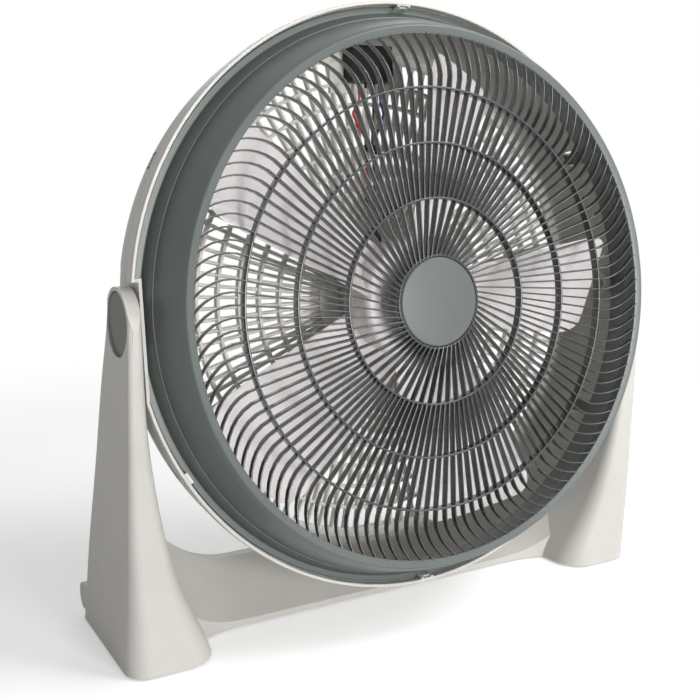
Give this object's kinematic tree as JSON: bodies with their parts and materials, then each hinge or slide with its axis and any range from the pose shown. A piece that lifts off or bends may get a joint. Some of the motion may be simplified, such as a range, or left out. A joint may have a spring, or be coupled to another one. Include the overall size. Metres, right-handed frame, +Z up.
{
  "type": "air circulator fan",
  "caption": "Floor-standing air circulator fan: a round tilting head with a slatted front grille and a wide-bladed impeller, carried between the two legs of a moulded yoke base.",
  "frame": {"origin": "on the floor, under the middle of the fan's width and depth", "axes": "+X across the fan, to the right as seen from the front; -Y the way the air blows; +Z up"},
  "size_m": [0.5912, 0.2493, 0.6007],
  "materials": {
    "warm_white_plastic": "moulded, fine satin",
    "blade_white_plastic": "moulded, smooth",
    "grey_plastic": "moulded, satin",
    "badge_grey": "fine texture, bare",
    "bright_clip": "polished spring steel",
    "black_plastic": "moulded",
    "rubber": "matt",
    "zinc_steel": "zinc plated",
    "lamination_steel": "stacked laminations",
    "cast_aluminium": "die cast",
    "copper_winding": "enamelled wire",
    "fibre_washer": "pressed fibre",
    "capacitor_shell": "moulded",
    "red_insulation": "soft vinyl",
    "white_insulation": "soft vinyl",
    "black_insulation": "soft vinyl",
    "blue_insulation": "soft vinyl"
  },
  "bodies": {
    "base": {"base_shell": "warm_white_plastic", "base_plate": "warm_white_plastic", "base_screws": "zinc_steel", "rubber_feet": "rubber", "pivot_cap_left": "grey_plastic", "pivot_cap_right": "grey_plastic", "pivot_bolt_left": "zinc_steel", "pivot_bolt_right": "zinc_steel", "pivot_nut_left": "zinc_steel", "pivot_nut_right": "zinc_steel"},
    "head": {"drum": "warm_white_plastic", "rear_grille": "warm_white_plastic", "rear_grille_screws": "zinc_steel", "bezel": "grey_plastic", "front_grille": "grey_plastic", "hub_badge": "badge_grey", "grille_clips": "bright_clip", "friction_washer_left": "fibre_washer", "friction_washer_right": "fibre_washer", "motor_rear_shell": "cast_aluminium", "motor_front_shell": "cast_aluminium", "stator_core": "lamination_steel", "stator_windings": "copper_winding", "motor_screws": "zinc_steel", "bearing_rear": "zinc_steel", "bearing_front": "zinc_steel", "motor_cover": "warm_white_plastic", "cover_screws": "zinc_steel", "cord_gland": "black_plastic", "terminal_block": "black_plastic", "capacitor": "capacitor_shell", "switch_body": "black_plastic", "switch_nut": "zinc_steel", "wire_red": "red_insulation", "wire_white": "white_insulation", "wire_black": "black_insulation", "wire_blue": "blue_insulation", "capacitor_leads": "black_insulation", "motor_leads": "white_insulation", "wire_clips": "black_plastic"},
    "rotor": {"impeller": "blade_white_plastic", "impeller_nut": "grey_plastic", "motor_shaft": "zinc_steel", "rotor_core": "lamination_steel"},
    "knob": {"speed_knob": "grey_plastic", "switch_spindle": "zinc_steel"}
  },
  "joints": [
    {"name": "head_tilt", "type": "hinge", "parent": "base", "child": "head", "pos_m": [0, -0.03311, 0.32], "axis": [-1, 0, 0], "range_deg": [-15, 80]},
    {"name": "impeller_spin", "type": "hinge", "parent": "head", "child": "rotor", "pos_m": [0, -0.03311, 0.32], "axis": [0, -0.9962, 0.0872], "continuous": true},
    {"name": "speed_knob_turn", "type": "hinge", "parent": "head", "child": "knob", "pos_m": [-0.004, 0.04684, 0.54539], "axis": [0, 0.9962, -0.0872], "range_deg": [0, 270]}
  ]
}
